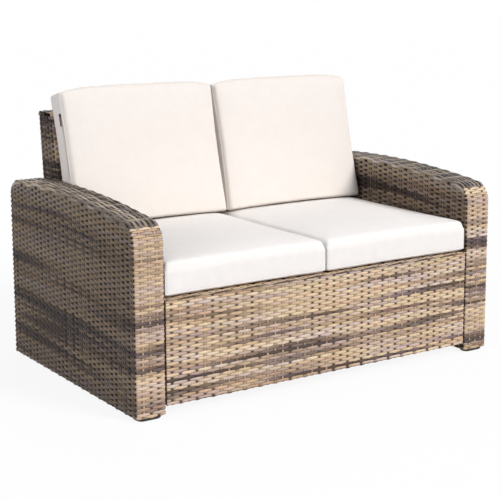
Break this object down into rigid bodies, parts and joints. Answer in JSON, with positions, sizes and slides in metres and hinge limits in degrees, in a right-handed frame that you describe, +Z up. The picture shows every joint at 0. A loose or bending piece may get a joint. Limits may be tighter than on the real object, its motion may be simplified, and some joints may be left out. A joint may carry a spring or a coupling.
{
  "type": "patio loveseat",
  "caption": "Low two-seat outdoor sofa with a woven resin skin over a steel tube frame, arched slab arms, a leaning woven back, and loose zipped seat and back cushions.",
  "frame": {"origin": "on the ground, under the middle of the arms", "axes": "+X along the seat to the sitter's left as seen from the front, +Y from the front to the back, +Z up"},
  "size_m": [1.22, 0.776, 0.818],
  "materials": {
    "wicker": "woven flat resin strands in mixed tan, straw, grey-brown and dark brown",
    "steel_tube": "dark brown powder coat",
    "glide": "moulded black plastic",
    "fastener": "zinc-plated steel",
    "cushion_cover": "warm ivory woven polyester",
    "cushion_foam": "soft polyurethane foam",
    "zip_tape": "ivory tape with fine moulded teeth",
    "zip_slider": "antique bronze plated"
  },
  "bodies": {
    "frame": {"arm_left_weave": "wicker", "arm_left_inner_hoop": "steel_tube", "arm_left_outer_hoop": "steel_tube", "arm_left_bottom_rails": "steel_tube", "arm_left_spreaders": "steel_tube", "arm_left_back_upright": "steel_tube", "arm_left_seat_rail": "steel_tube", "arm_left_glides": "glide", "arm_right_weave": "wicker", "arm_right_inner_hoop": "steel_tube", "arm_right_outer_hoop": "steel_tube", "arm_right_bottom_rails": "steel_tube", "arm_right_spreaders": "steel_tube", "arm_right_back_upright": "steel_tube", "arm_right_seat_rail": "steel_tube", "arm_right_glides": "glide", "seat_front_rail": "steel_tube", "seat_rear_rail": "steel_tube", "seat_left_rail": "steel_tube", "seat_right_rail": "steel_tube", "seat_cross_bars": "steel_tube", "skirt_lower_rail": "steel_tube", "skirt_posts": "steel_tube", "back_front_rails": "steel_tube", "back_front_uprights": "steel_tube", "back_rear_rails": "steel_tube", "back_rear_uprights": "steel_tube", "back_ties": "steel_tube", "seat_deck_weave": "wicker", "skirt_weave": "wicker", "back_weave": "wicker", "seat_screws": "fastener", "seat_washers": "fastener", "seat_inserts": "fastener", "back_screws": "fastener", "back_washers": "fastener", "back_inserts": "fastener"},
    "seat_cushion_left": {"seat_cushion_left_cover": "cushion_cover", "seat_cushion_left_core": "cushion_foam", "seat_cushion_left_zip": "zip_tape"},
    "back_cushion_left": {"back_cushion_left_cover": "cushion_cover", "back_cushion_left_core": "cushion_foam", "back_cushion_left_zip": "zip_tape"},
    "seat_cushion_left_slider": {"seat_cushion_left_zip_slider": "zip_slider"},
    "back_cushion_left_slider": {"back_cushion_left_zip_slider": "zip_slider"},
    "seat_cushion_right": {"seat_cushion_right_cover": "cushion_cover", "seat_cushion_right_core": "cushion_foam", "seat_cushion_right_zip": "zip_tape"},
    "back_cushion_right": {"back_cushion_right_cover": "cushion_cover", "back_cushion_right_core": "cushion_foam", "back_cushion_right_zip": "zip_tape"},
    "seat_cushion_right_slider": {"seat_cushion_right_zip_slider": "zip_slider"},
    "back_cushion_right_slider": {"back_cushion_right_zip_slider": "zip_slider"}
  },
  "joints": [
    {"name": "seat_cushion_left_lift", "type": "slide", "parent": "frame", "child": "seat_cushion_left", "axis": [0, 0, 1], "range_m": [0, 0.3]},
    {"name": "back_cushion_left_lift", "type": "slide", "parent": "seat_cushion_left", "child": "back_cushion_left", "axis": [0, 0.2334, 0.9724], "range_m": [0, 0.35]},
    {"name": "seat_cushion_left_zip_travel", "type": "slide", "parent": "seat_cushion_left", "child": "seat_cushion_left_slider", "axis": [-1, 0, 0], "range_m": [0, 0.36]},
    {"name": "back_cushion_left_zip_travel", "type": "slide", "parent": "back_cushion_left", "child": "back_cushion_left_slider", "axis": [0, -0.2334, -0.9724], "range_m": [0, 0.15]},
    {"name": "seat_cushion_right_lift", "type": "slide", "parent": "frame", "child": "seat_cushion_right", "axis": [0, 0, 1], "range_m": [0, 0.3]},
    {"name": "back_cushion_right_lift", "type": "slide", "parent": "seat_cushion_right", "child": "back_cushion_right", "axis": [0, 0.2334, 0.9724], "range_m": [0, 0.35]},
    {"name": "seat_cushion_right_zip_travel", "type": "slide", "parent": "seat_cushion_right", "child": "seat_cushion_right_slider", "axis": [-1, 0, 0], "range_m": [0, 0.36]},
    {"name": "back_cushion_right_zip_travel", "type": "slide", "parent": "back_cushion_right", "child": "back_cushion_right_slider", "axis": [0, -0.2334, -0.9724], "range_m": [0, 0.15]}
  ]
}
